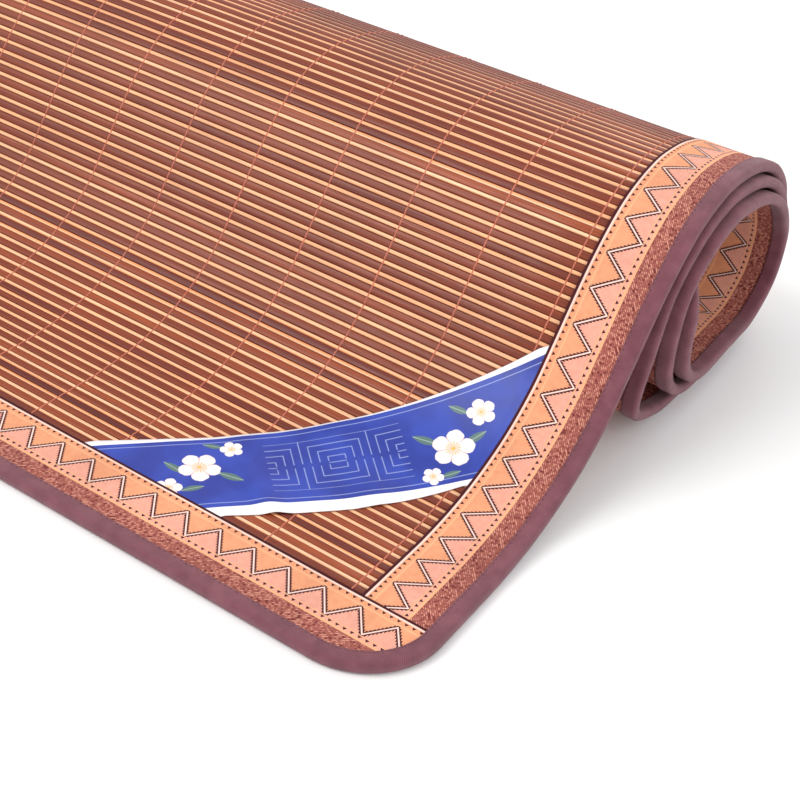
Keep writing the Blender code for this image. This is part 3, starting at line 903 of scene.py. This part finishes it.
def map_flat(obj):
    """A map in metres that holds each point's place on the flat mat."""
    if "Flat" not in obj.data.uv_layers:
        obj.data.uv_layers.new(name="Flat")
    for other in [entry for entry in obj.data.uv_layers if entry.name != "Flat"]:
        obj.data.uv_layers.remove(other)
    layer = obj.data.uv_layers["Flat"]
    for loop in obj.data.loops:
        place = obj.data.vertices[loop.vertex_index].co
        layer.data[loop.index].uv = (place.x, place.y - SLAT_START + sizes().slat_pitch / 4)


def build_slats():
    pitch = sizes().slat_pitch
    broad_width = pitch * sizes().broad_share
    gap = sizes().slat_gap
    narrow_width = pitch - broad_width - 2 * gap
    tints = colours()
    broad = slat_strip("broad_slats", broad_width, BROAD_HEIGHT, broad_width / 2, 0.0005, 2)
    narrow = slat_strip("narrow_slats", narrow_width, NARROW_HEIGHT,
                        broad_width + gap + narrow_width / 2, 0.0003, 1)
    finish_piece(broad, slat_material("Carbonised Bamboo", tints.slat_deep, tints.slat,
                                      tints.slat_bright, 0.55), ("slat_panel",))
    finish_piece(narrow, slat_material("Natural Bamboo", tints.strip_deep, tints.strip,
                                       tints.strip_bright, 0.22))


def build_lacing():
    """Threads that lie over each broad slat and dip to the narrow one beside it."""
    pitch = sizes().slat_pitch
    broad_width = pitch * sizes().broad_share
    half = sizes().thread_width / 2
    count = int((SLAT_END - SLAT_START) / pitch)
    top = BROAD_HEIGHT / 2
    low = NARROW_HEIGHT / 2
    # place along the pitch, height of the thread's underside
    passes = (
        (-0.00010, low), (0.00035, top - 0.0001), (0.00120, top), (broad_width - 0.00120, top),
        (broad_width - 0.00035, top - 0.0001), (broad_width + 0.00010, low),
    )
    bm = bmesh.new()
    for line in range(THREAD_COUNT):
        middle = -THREAD_EDGE + 2 * THREAD_EDGE * line / (THREAD_COUNT - 1)
        for face_side, first in ((1, 0), (-1, int(BACK_LACING_FROM * count))):
            before = None
            for number in range(first, count):
                for step, (shift, level) in enumerate(passes):
                    s = SLAT_START + number * pitch + shift
                    x = middle + 0.0009 * ripple(s * 9.0, line * 3.1) + 0.0002 * ripple(s * 400.0, line)
                    n = level + THREAD_RISE
                    thick = THREAD_THICK if 1 < step < 4 else THREAD_THIN
                    row = [bm.verts.new((x - half * face_side, s, face_side * n)),
                           bm.verts.new((x, s, face_side * (n + thick))),
                           bm.verts.new((x + half * face_side, s, face_side * n))]
                    if before:
                        for i in (0, 1):
                            bm.faces.new((before[i], before[i + 1], row[i + 1], row[i]))
                    before = row
    lacing = link_mesh("lacing", bm)
    section.lay_mesh(lacing)
    tints = colours()
    finish_piece(lacing, thread_material("Lacing Thread", tints.thread, tints.thread_deep))


def border_level(from_rim, from_lip):
    """Height of the border cloth's middle: low at its lip and at the fold round the rim."""
    lip = min(max(from_lip, 0.0) / LIP_RUN, 1.0)
    rim = min(max(from_rim, 0.0) / RIM_RUN, 1.0)
    level = BORDER_LEVEL - LIP_DROP * (1 - lip) ** 2
    return level - RIM_DROP * (1 - rim) ** 2


def puckers(x, s, from_rim):
    """Slow waves in the cloth, and small ones beside the seam."""
    wave = 0.00014 * ripple(x * 28.0, s * 28.0)
    seam = 0.00010 * ripple(x * 170.0, s * 170.0, 3.0) * max(0.0, 1 - abs(from_rim - 0.008) / 0.012)
    return wave + seam


def finish_border(border, node_name):
    """Thickness, place on the roll, material and body of one border cloth, and hides its CAD node."""
    apply_modifier(border, "SOLIDIFY", thickness=BORDER_CLOTH, offset=0.0)
    section.lay_mesh(border)
    finish_piece(border, bpy.data.materials["Woven Border"], (node_name,))


def build_side_border(name, side, node_name):
    """Border cloth folded over the slat ends along one side."""
    width = sizes().border_width
    inset = BORDER_INSET
    steps = [0.0, 0.0006, 0.002, 0.004, 0.008, 0.013, 0.018, 0.023, 0.028, 0.033, 0.038, 0.042, 0.0452]
    steps += [width - inset]
    profile = []
    for step in steps:
        from_rim = width - inset - step
        profile.append((step, border_level(from_rim, step)))
    folded = profile + [(width - inset + 0.0004, 0.0)]
    folded += [(step, -level) for step, level in reversed(profile)]
    start = width + 0.00005
    end = MAT_LENGTH - start
    count = 380
    rows = []
    places = []
    for j in range(count + 1):
        s = start + (end - start) * j / count
        row = []
        flat = []
        for step, level in folded:
            x = side * (HALF_WIDTH - width + step)
            wave = puckers(x, s, width - step) * (1 if level > 0 else 0.6)
            row.append((x, s, level + (wave if level else 0.0)))
            flat.append((step, s if side > 0 else MAT_LENGTH - s))
        rows.append(row if side > 0 else row[::-1])
        places.append(flat if side > 0 else flat[::-1])
    finish_border(cloth_from_rows(name, rows, places), node_name)


def build_end_border(name, at_back, node_name):
    """Border cloth folded over one end of the mat, round at its corners."""
    width = sizes().border_width
    inset = BORDER_INSET
    radius = CORNER_RADIUS - inset
    arc_steps = 20
    columns = 170
    heights = [radius * (1 - math.cos(math.pi / 2 * step / arc_steps)) for step in range(arc_steps + 1)]
    reaches = [HALF_WIDTH - CORNER_RADIUS + radius * math.sin(math.pi / 2 * step / arc_steps)
               for step in range(arc_steps + 1)]
    heights.append(width - inset)
    reaches.append(HALF_WIDTH - inset)
    bm = bmesh.new()
    layer = bm.loops.layers.uv.new("Flat")
    flat_place = {}

    def vertex(x, s, n):
        real_s = MAT_LENGTH - s if at_back else s
        vert = bm.verts.new((x, real_s, n))
        along = -x if at_back else x
        flat_place[vert] = (width - s, along)
        return vert

    def rim_distance(x, s):
        side = HALF_WIDTH - CORNER_RADIUS
        if abs(x) > side and s < CORNER_RADIUS:
            return CORNER_RADIUS - math.hypot(abs(x) - side, CORNER_RADIUS - s)
        return min(s, HALF_WIDTH - abs(x))

    sheets = []
    for face_side in (1, -1):
        grid = []
        for height, reach in zip(heights, reaches):
            row = []
            for column in range(columns + 1):
                x = reach * (2 * column / columns - 1)
                s = inset + height
                from_rim = rim_distance(x, s) - inset
                level = border_level(from_rim, width - s)
                level += puckers(x, s, from_rim + inset) * (1 if from_rim > 0.001 else 0)
                row.append(vertex(x, s, face_side * level))
            grid.append(row)
        sheets.append(grid)
    for face_side, grid in zip((1, -1), sheets):
        for j in range(len(grid) - 1):
            for i in range(columns):
                corners = [grid[j][i], grid[j][i + 1], grid[j + 1][i + 1], grid[j + 1][i]]
                bm.faces.new(corners if face_side > 0 else corners[::-1])
    rims = []
    for grid in sheets:
        rims.append([row[0] for row in reversed(grid)] + grid[0][1:] + [row[-1] for row in grid[1:]])
    middle = []
    for vert in rims[0]:
        x = vert.co.x
        s = MAT_LENGTH - vert.co.y if at_back else vert.co.y
        middle.append(vertex(x * 1.0008, s - 0.0003, 0.0))
    for upper, lower in ((rims[0], middle), (middle, rims[1])):
        for i in range(len(upper) - 1):
            bm.faces.new((upper[i], lower[i], lower[i + 1], upper[i + 1]))
    for face in bm.faces:
        for loop in face.loops:
            loop[layer].uv = flat_place[loop.vert]
    bmesh.ops.recalc_face_normals(bm, faces=bm.faces)
    finish_border(link_mesh(name, bm), node_name)


def rim_path(step):
    """The mat's rounded outline, anticlockwise from above: (x, s, outward x, outward s)."""
    radius = CORNER_RADIUS
    side = HALF_WIDTH - radius
    points = []
    corners = (
        (side, radius, -90), (side, MAT_LENGTH - radius, 0),
        (-side, MAT_LENGTH - radius, 90), (-side, radius, 180),
    )
    arc_count = 30
    for index, (x, s, start) in enumerate(corners):
        for turn in range(arc_count + 1):
            angle = math.radians(start + 90 * turn / arc_count)
            outward = (math.cos(angle), math.sin(angle))
            points.append((x + radius * outward[0], s + radius * outward[1], *outward))
        next_x, next_s, next_start = corners[(index + 1) % 4]
        angle = math.radians(next_start)
        outward = (math.cos(angle), math.sin(angle))
        end = (next_x + radius * outward[0], next_s + radius * outward[1])
        begin = points[-1][:2]
        count = int(math.dist(begin, end) / step)
        for turn in range(1, count):
            t = turn / count
            points.append((begin[0] + t * (end[0] - begin[0]), begin[1] + t * (end[1] - begin[1]),
                           *outward))
    return points


def tape_profile():
    """Across the folded tape: distance in from the rim, height; the middle of its cloth."""
    upper = [(0.0098, 0.00268), (0.0093, 0.00290), (0.0082, 0.00302), (0.0066, 0.00308),
             (0.0048, 0.00318), (0.0030, 0.00322), (0.0018, 0.00304), (0.0010, 0.00246),
             (0.00058, 0.00150)]
    lower = [(inward, -height) for inward, height in reversed(upper)]
    return upper + [(0.00047, 0.0)] + lower


def build_binding():
    """Ribbed tape folded round the whole rim of the mat in one length."""
    path = rim_path(TAPE_STEP)
    profile = tape_profile()
    girth = [0.0]
    for start, end in zip(profile, profile[1:]):
        girth.append(girth[-1] + math.dist(start, end))
    rows = []
    places = []
    travelled = 0.0
    for index, (x, s, out_x, out_s) in enumerate(path):
        if index:
            travelled += math.dist(path[index - 1][:2], (x, s))
        stitch = math.cos(travelled / sizes().stitch_pitch * 2 * math.pi)
        row = []
        for inward, height in profile:
            swell = 0.00016 * ripple(travelled * 60.0, height * 900.0) * (1 if height > 0 else 0.5)
            dent = 0.00009 * stitch if inward > TAPE_LIP else 0.0
            stray = 0.00016 * ripple(travelled * 45.0, 7.0) if inward > TAPE_LIP else 0.0
            sideways = inward + stray
            up = (height + math.copysign(swell + dent, height)) if height else 0.0
            up = max(-TAPE_LIMIT, min(TAPE_LIMIT, up))
            row.append((x - out_x * sideways, s - out_s * sideways, up))
        rows.append(row[::-1])
        places.append([(reach, travelled) for reach in girth][::-1])
    travelled += math.dist(path[-1][:2], path[0][:2])
    places.append([(reach, travelled) for reach in girth][::-1])
    binding = cloth_from_rows("binding", rows, places, closed=True)
    apply_modifier(binding, "SOLIDIFY", thickness=TAPE_CLOTH, offset=0.0)
    section.lay_mesh(binding)
    finish_piece(binding, tape_material(),
                 ("binding_front", "binding_back", "binding_right", "binding_left"))


def stitch_template():
    """One stitch, lying along x, from a small rounded bar."""
    clear_selection()
    bpy.ops.mesh.primitive_uv_sphere_add(segments=6, ring_count=4, radius=0.5)
    template = bpy.context.object
    bpy.ops.object.mode_set(mode="EDIT")
    bpy.ops.mesh.select_all(action="SELECT")
    bpy.ops.transform.resize(value=STITCH_SIZE)
    bpy.ops.object.mode_set(mode="OBJECT")
    places = [tuple(vertex.co) for vertex in template.data.vertices]
    faces = [tuple(polygon.vertices) for polygon in template.data.polygons]
    bpy.data.objects.remove(template, do_unlink=True)
    return places, faces


def build_stitches():
    """A row of stitches along the tape's inner edge, on both faces of the mat."""
    places, faces = stitch_template()
    pitch = sizes().stitch_pitch
    path = rim_path(pitch)
    chance = random.Random(7)
    all_places = []
    all_faces = []
    for face_side in (1, -1):
        for x, s, out_x, out_s in path:
            inward = STITCH_INWARD + chance.uniform(-STITCH_SHIFT, STITCH_SHIFT)
            turn = math.atan2(out_x, -out_s) + chance.uniform(-STITCH_TURN, STITCH_TURN)
            cosine, sine = math.cos(turn), math.sin(turn)
            first = len(all_places)
            for along, across, up in places:
                all_places.append((
                    x - out_x * inward + along * cosine - across * sine,
                    s - out_s * inward + along * sine + across * cosine,
                    face_side * STITCH_HEIGHT + up,
                ))
            all_faces += [tuple(first + corner for corner in face) for face in faces]
    mesh = bpy.data.meshes.new("seam_stitches")
    mesh.from_pydata(all_places, [], all_faces)
    stitches = bpy.data.objects.new("seam_stitches", mesh)
    bpy.context.scene.collection.objects.link(stitches)
    section.lay_mesh(stitches)
    tints = colours()
    finish_piece(stitches, thread_material("Seam Thread", tints.seam_thread, tints.border_dark))


def build_corner_band():
    """Printed satin band laid slantwise over the corner, its ends under the borders."""
    border = sizes().border_width
    side = HALF_WIDTH - border
    front = border
    low_start = Vector((side - BAND_ON_FRONT[0], front))
    low_end = Vector((side, front + BAND_ON_SIDE[0]))
    high_start = Vector((side - BAND_ON_FRONT[1], front))
    high_end = Vector((side, front + BAND_ON_SIDE[1]))
    run = (high_end - high_start).normalized()
    up = Vector((-run.y, run.x))
    middle = (high_start + high_end) / 2
    width = (middle - (low_start + low_end) / 2).dot(up)
    columns = 150
    rows_count = 36
    rows = []
    places = []
    for j in range(rows_count + 1):
        w = j / rows_count
        start = low_start.lerp(high_start, w)
        end = low_end.lerp(high_end, w)
        row = []
        flat = []
        for i in range(columns + 1):
            u = i / columns
            point = start.lerp(end, u)
            sag = sizes().band_sag * 4 * u * (1 - u)
            point = point - up * sag
            tuck_front = Vector((0, -BAND_TUCK)) * max(0.0, 1 - u * 40)
            tuck_side = Vector((BAND_TUCK, 0)) * max(0.0, 1 - (1 - u) * 40)
            point = point + tuck_front + tuck_side
            from_end = min(u, 1 - u) * (end - start).length
            settle = min(from_end / BAND_SETTLE, 1.0)
            wave = 0.0016 * math.exp(-((u - 0.22 - 0.10 * w) / 0.045) ** 2) * (0.35 + 0.65 * (1 - w))
            wave += 0.0007 * math.exp(-((u - 0.62 + 0.12 * w) / 0.06) ** 2)
            crinkle = 0.00022 * ripple(u * 9.0, w * 2.5) + 0.0001 * ripple(u * 26.0, w * 5.0)
            n = BAND_REST + settle * (BAND_CLEAR + max(0.0, wave + crinkle))
            row.append((point.x, point.y, n))
            offset = Vector((point.x, point.y)) - middle
            flat.append((width + offset.dot(up), offset.dot(run)))
        rows.append(row)
        places.append(flat)
    band = cloth_from_rows("satin_band", rows, places)
    apply_modifier(band, "SOLIDIFY", thickness=BAND_CLOTH, offset=0.0)
    section.lay_mesh(band)
    finish_piece(band, satin_material(width), ("corner_band",))


def build_stage():
    """A pale floor, soft studio lights and the camera at the photo's angle."""
    clear_selection()
    bpy.ops.mesh.primitive_plane_add(size=16.0, location=(0, 0, -0.0005))
    floor = bpy.context.object
    floor.name = "floor"
    bpy.ops.object.transform_apply(location=True, rotation=False, scale=False)
    floor.data.materials.append(floor_material())
    floor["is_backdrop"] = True
    clear_selection()

    world = bpy.data.worlds.new("Studio")
    bpy.context.scene.world = world
    world.use_nodes = True
    background = world.node_tree.nodes["Background"]
    background.inputs["Color"].default_value = (1.0, 1.0, 1.0, 1.0)
    background.inputs["Strength"].default_value = 0.75

    target = Vector((0.15, 0.0, 0.05))
    # name, place, size, power, colour
    for name, place, size, power, colour in (
        ("Key Light", (-0.9, -1.5, 2.1), 1.6, 42.0, (1.0, 0.985, 0.96)),
        ("Fill Light", (2.2, -0.5, 1.3), 1.8, 14.0, (0.97, 0.985, 1.0)),
        ("Back Light", (0.4, 2.2, 1.9), 1.8, 18.0, (1.0, 1.0, 1.0)),
    ):
        light = bpy.data.lights.new(name, "AREA")
        light.size = size
        light.energy = power
        light.color = colour
        lamp = bpy.data.objects.new(name, light)
        lamp.location = place
        lamp.rotation_euler = (target - Vector(place)).to_track_quat("-Z", "Y").to_euler()
        bpy.context.scene.collection.objects.link(lamp)

    lens = bpy.data.cameras.new("Photo Camera")
    lens.lens = 63.0
    lens.sensor_width = 36.0
    lens.clip_end = 50.0
    camera = bpy.data.objects.new("Photo Camera", lens)
    right = Vector((0.8313, 0.5436, 0.1156)).normalized()
    forward = Vector((-0.3912, 0.7200, -0.5733)).normalized()
    upward = right.cross(forward).normalized()
    turn = Matrix((right, upward, -forward)).transposed()
    camera.matrix_world = Matrix.Translation((0.6488, -0.6519, 0.4957)) @ turn.to_4x4()
    bpy.context.scene.collection.objects.link(camera)
    bpy.context.scene.camera = camera
    bpy.context.scene.view_settings.view_transform = "Standard"


def colour_setting(name, description, value):
    return bpy.props.FloatVectorProperty(name=name, description=description, subtype="COLOR",
                                         size=3, min=0.0, max=1.0, default=value)


def length_setting(name, description, value):
    return bpy.props.FloatProperty(name=name, description=description, subtype="DISTANCE",
                                   unit="LENGTH", default=value, min=0.0, precision=5)


class BambooMatSizes(bpy.types.PropertyGroup):
    """Sizes that a user may change"""

    slat_pitch: length_setting("Slat Pitch", "One broad slat and one narrow strip", 0.0075)
    broad_share: bpy.props.FloatProperty(
        name="Broad Share", description="Share of the pitch that the broad slat takes",
        subtype="FACTOR", default=0.60, min=0.3, max=0.8)
    slat_gap: length_setting("Slat Gap", "Gap on each side of a narrow strip", 0.00032)
    thread_width: length_setting("Thread Width", "Width of the lacing thread", 0.0009)
    border_width: length_setting("Border Width", "Width of the woven border on each face", 0.050)
    zigzag_pitch: length_setting("Zigzag Pitch", "Length of one zigzag in the border", 0.0225)
    stitch_pitch: length_setting("Stitch Pitch", "Distance between the tape's stitches", 0.0036)
    band_sag: length_setting("Band Sag", "How far the satin band bows towards the corner", 0.004)


class BambooMatColours(bpy.types.PropertyGroup):
    """Colours that a user may change"""

    slat: colour_setting("Slat", "Middle tone of the broad slats", (0.235, 0.042, 0.014))
    slat_deep: colour_setting("Slat Deep", "Darkest broad slats", (0.120, 0.016, 0.013))
    slat_bright: colour_setting("Slat Bright", "Lightest broad slats", (0.390, 0.085, 0.026))
    strip: colour_setting("Strip", "Middle tone of the narrow strips", (0.900, 0.480, 0.260))
    strip_deep: colour_setting("Strip Deep", "Darkest narrow strips", (0.820, 0.290, 0.100))
    strip_bright: colour_setting("Strip Bright", "Lightest narrow strips", (0.960, 0.640, 0.420))
    thread: colour_setting("Thread", "Lacing thread", (0.640, 0.200, 0.120))
    thread_deep: colour_setting("Thread Deep", "Shaded strands of the thread", (0.420, 0.100, 0.060))
    border_peach: colour_setting("Border Peach", "Border ground inside the zigzag", (0.840, 0.370, 0.200))
    border_pink: colour_setting("Border Pink", "Border ground outside the zigzag", (0.840, 0.400, 0.300))
    border_stripe: colour_setting("Border Stripe", "Plain stripes of the border", (0.900, 0.440, 0.240))
    border_pale: colour_setting("Border Pale", "Pale lines of the border", (0.940, 0.680, 0.600))
    border_dark: colour_setting("Border Dark", "Dark lines and teeth", (0.060, 0.008, 0.014))
    jacquard: colour_setting("Weave", "Middle tone of the mottled weave", (0.380, 0.115, 0.090))
    # Dark yarn, and also the painted shade in the grooves between the fleck lanes.
    jacquard_yarn_and_groove_shade: colour_setting("Weave Deep", "Dark yarn of the mottled weave", (0.170, 0.035, 0.032))
    jacquard_fleck: colour_setting("Weave Fleck", "Light flecks of the weave", (0.680, 0.290, 0.210))
    tape: colour_setting("Tape", "Ribbed tape round the rim", (0.190, 0.058, 0.080))
    tape_light: colour_setting("Tape Light", "Lighter parts of the tape", (0.250, 0.085, 0.110))
    # Painted shade colour for the valleys between the tape's ribs.
    tape_valley_shade: colour_setting("Tape Deep", "Valleys between the ribs", (0.085, 0.022, 0.034))
    seam_thread: colour_setting("Seam Thread", "Stitches along the tape", (0.140, 0.030, 0.045))
    satin: colour_setting("Satin", "Blue of the band", (0.020, 0.055, 0.420))
    satin_deep: colour_setting("Satin Deep", "Darker blue of the band", (0.012, 0.032, 0.300))
    satin_edge: colour_setting("Satin Edge", "White edges of the band", (0.900, 0.900, 0.930))
    satin_line: colour_setting("Satin Line", "Thin lines on the band", (0.420, 0.500, 0.800))
    petal: colour_setting("Petal", "Printed petals", (0.930, 0.860, 0.830))
    petal_blush: colour_setting("Petal Blush", "Pink of the petals", (0.860, 0.420, 0.420))
    stamen: colour_setting("Stamen", "Middle of the blossoms", (0.850, 0.480, 0.100))
    leaf: colour_setting("Leaf", "Printed leaves", (0.090, 0.170, 0.160))
    leaf_vein: colour_setting("Leaf Vein", "Veins of the leaves", (0.420, 0.520, 0.470))


class BAMBOOMAT_OT_slats(bpy.types.Operator):
    """Lay the broad slats and the narrow strips side by side"""

    bl_idname = "bamboo_mat.slats"
    bl_label = "Slats"

    def execute(self, context):
        build_slats()
        return {"FINISHED"}


class BAMBOOMAT_OT_lacing(bpy.types.Operator):
    """Lace the slats together with rows of thread"""

    bl_idname = "bamboo_mat.lacing"
    bl_label = "Lacing"

    def execute(self, context):
        build_lacing()
        return {"FINISHED"}


class BAMBOOMAT_OT_borders(bpy.types.Operator):
    """Fold the woven borders over the ends and the sides"""

    bl_idname = "bamboo_mat.borders"
    bl_label = "Borders"

    def execute(self, context):
        border_material()
        build_end_border("border_cloth_front", False, "border_front")
        build_end_border("border_cloth_back", True, "border_back")
        build_side_border("border_cloth_right", 1, "border_right")
        build_side_border("border_cloth_left", -1, "border_left")
        return {"FINISHED"}


class BAMBOOMAT_OT_binding(bpy.types.Operator):
    """Fold the ribbed tape round the rim and sew it down"""

    bl_idname = "bamboo_mat.binding"
    bl_label = "Binding"

    def execute(self, context):
        build_binding()
        build_stitches()
        return {"FINISHED"}


class BAMBOOMAT_OT_corner_band(bpy.types.Operator):
    """Lay the printed satin band across the corner"""

    bl_idname = "bamboo_mat.corner_band"
    bl_label = "Corner Band"

    def execute(self, context):
        build_corner_band()
        return {"FINISHED"}


class BAMBOOMAT_OT_stage(bpy.types.Operator):
    """Add the floor, the lights and the camera"""

    bl_idname = "bamboo_mat.stage"
    bl_label = "Stage"

    def execute(self, context):
        build_stage()
        return {"FINISHED"}


class BAMBOOMAT_PT_pieces(bpy.types.Panel):
    """Sizes, colours and pieces of the mat"""

    bl_idname = "BAMBOOMAT_PT_pieces"
    bl_label = "Bamboo Mat"
    bl_space_type = "VIEW_3D"
    bl_region_type = "UI"
    bl_category = "Bamboo Mat"

    def draw(self, context):
        layout = self.layout
        for name in BambooMatSizes.__annotations__:
            layout.prop(context.scene.bamboo_mat_sizes, name)
        for name in BambooMatColours.__annotations__:
            layout.prop(context.scene.bamboo_mat_colours, name)
        for operator in OPERATORS:
            layout.operator(operator.bl_idname)


OPERATORS = (
    BAMBOOMAT_OT_slats,
    BAMBOOMAT_OT_lacing,
    BAMBOOMAT_OT_borders,
    BAMBOOMAT_OT_binding,
    BAMBOOMAT_OT_corner_band,
    BAMBOOMAT_OT_stage,
)
CLASSES = (BambooMatSizes, BambooMatColours) + OPERATORS + (BAMBOOMAT_PT_pieces,)


def register():
    for entry in CLASSES:
        bpy.utils.register_class(entry)
    bpy.types.Scene.bamboo_mat_sizes = bpy.props.PointerProperty(type=BambooMatSizes)
    bpy.types.Scene.bamboo_mat_colours = bpy.props.PointerProperty(type=BambooMatColours)


def unregister():
    del bpy.types.Scene.bamboo_mat_colours
    del bpy.types.Scene.bamboo_mat_sizes
    for entry in reversed(CLASSES):
        bpy.utils.unregister_class(entry)


def main():
    register()
    bpy.ops.bamboo_mat.slats()
    bpy.ops.bamboo_mat.lacing()
    bpy.ops.bamboo_mat.borders()
    bpy.ops.bamboo_mat.binding()
    bpy.ops.bamboo_mat.corner_band()
    bpy.ops.bamboo_mat.stage()


if __name__ == "__main__":
    main()
